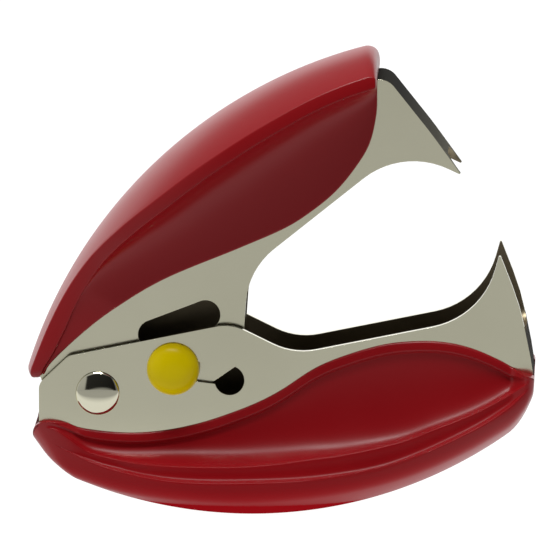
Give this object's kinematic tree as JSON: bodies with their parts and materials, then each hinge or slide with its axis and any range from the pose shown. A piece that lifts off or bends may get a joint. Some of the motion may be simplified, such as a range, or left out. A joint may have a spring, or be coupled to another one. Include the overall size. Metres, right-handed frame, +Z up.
{
  "type": "staple remover",
  "caption": "Jaw-type staple remover: two folded steel jaws with pointed teeth on one rivet, red moulded grips, a return spring and a sliding button lock.",
  "frame": {"origin": "centre of the small flat under the lower grip, on which the object stands", "axes": "+X from the pivot end towards the teeth, +Z up from the lower grip to the upper grip, +Y across the jaws along the rivet"},
  "size_m": [0.0599, 0.026, 0.0555],
  "materials": {
    "nickel_steel": "satin-bright nickel plating on folded sheet steel",
    "polished_nickel": "polished nickel dome",
    "zinc_steel": "plain turned steel",
    "spring_steel": "oiled spring wire",
    "red_plastic": "glossy injection-moulded plastic, crimson",
    "yellow_plastic": "glossy moulded plastic, lemon yellow"
  },
  "bodies": {
    "lower_assembly": {"lower_jaw": "nickel_steel", "lower_grip": "red_plastic", "pivot_rivet": "polished_nickel", "pivot_sleeve": "zinc_steel", "pivot_washer_near": "zinc_steel", "pivot_washer_far": "zinc_steel", "torsion_spring": "spring_steel"},
    "upper_assembly": {"upper_jaw": "nickel_steel", "upper_grip": "red_plastic"},
    "lock": {"lock_pin": "zinc_steel", "lock_plate": "nickel_steel", "lock_button": "yellow_plastic"}
  },
  "joints": [
    {"name": "jaw_hinge", "type": "hinge", "parent": "lower_assembly", "child": "upper_assembly", "pos_m": [-0.018, 0, 0.0148], "axis": [0, 1, 0], "range_deg": [0, 28], "stiffness_Nm_per_rad": 0.35, "springref_deg": -25.78, "deforming": ["torsion_spring"]},
    {"name": "lock_slide", "type": "slide", "parent": "lower_assembly", "child": "lock", "axis": [0.9925, 0, -0.1219], "range_m": [0, 0.00665]}
  ]
}
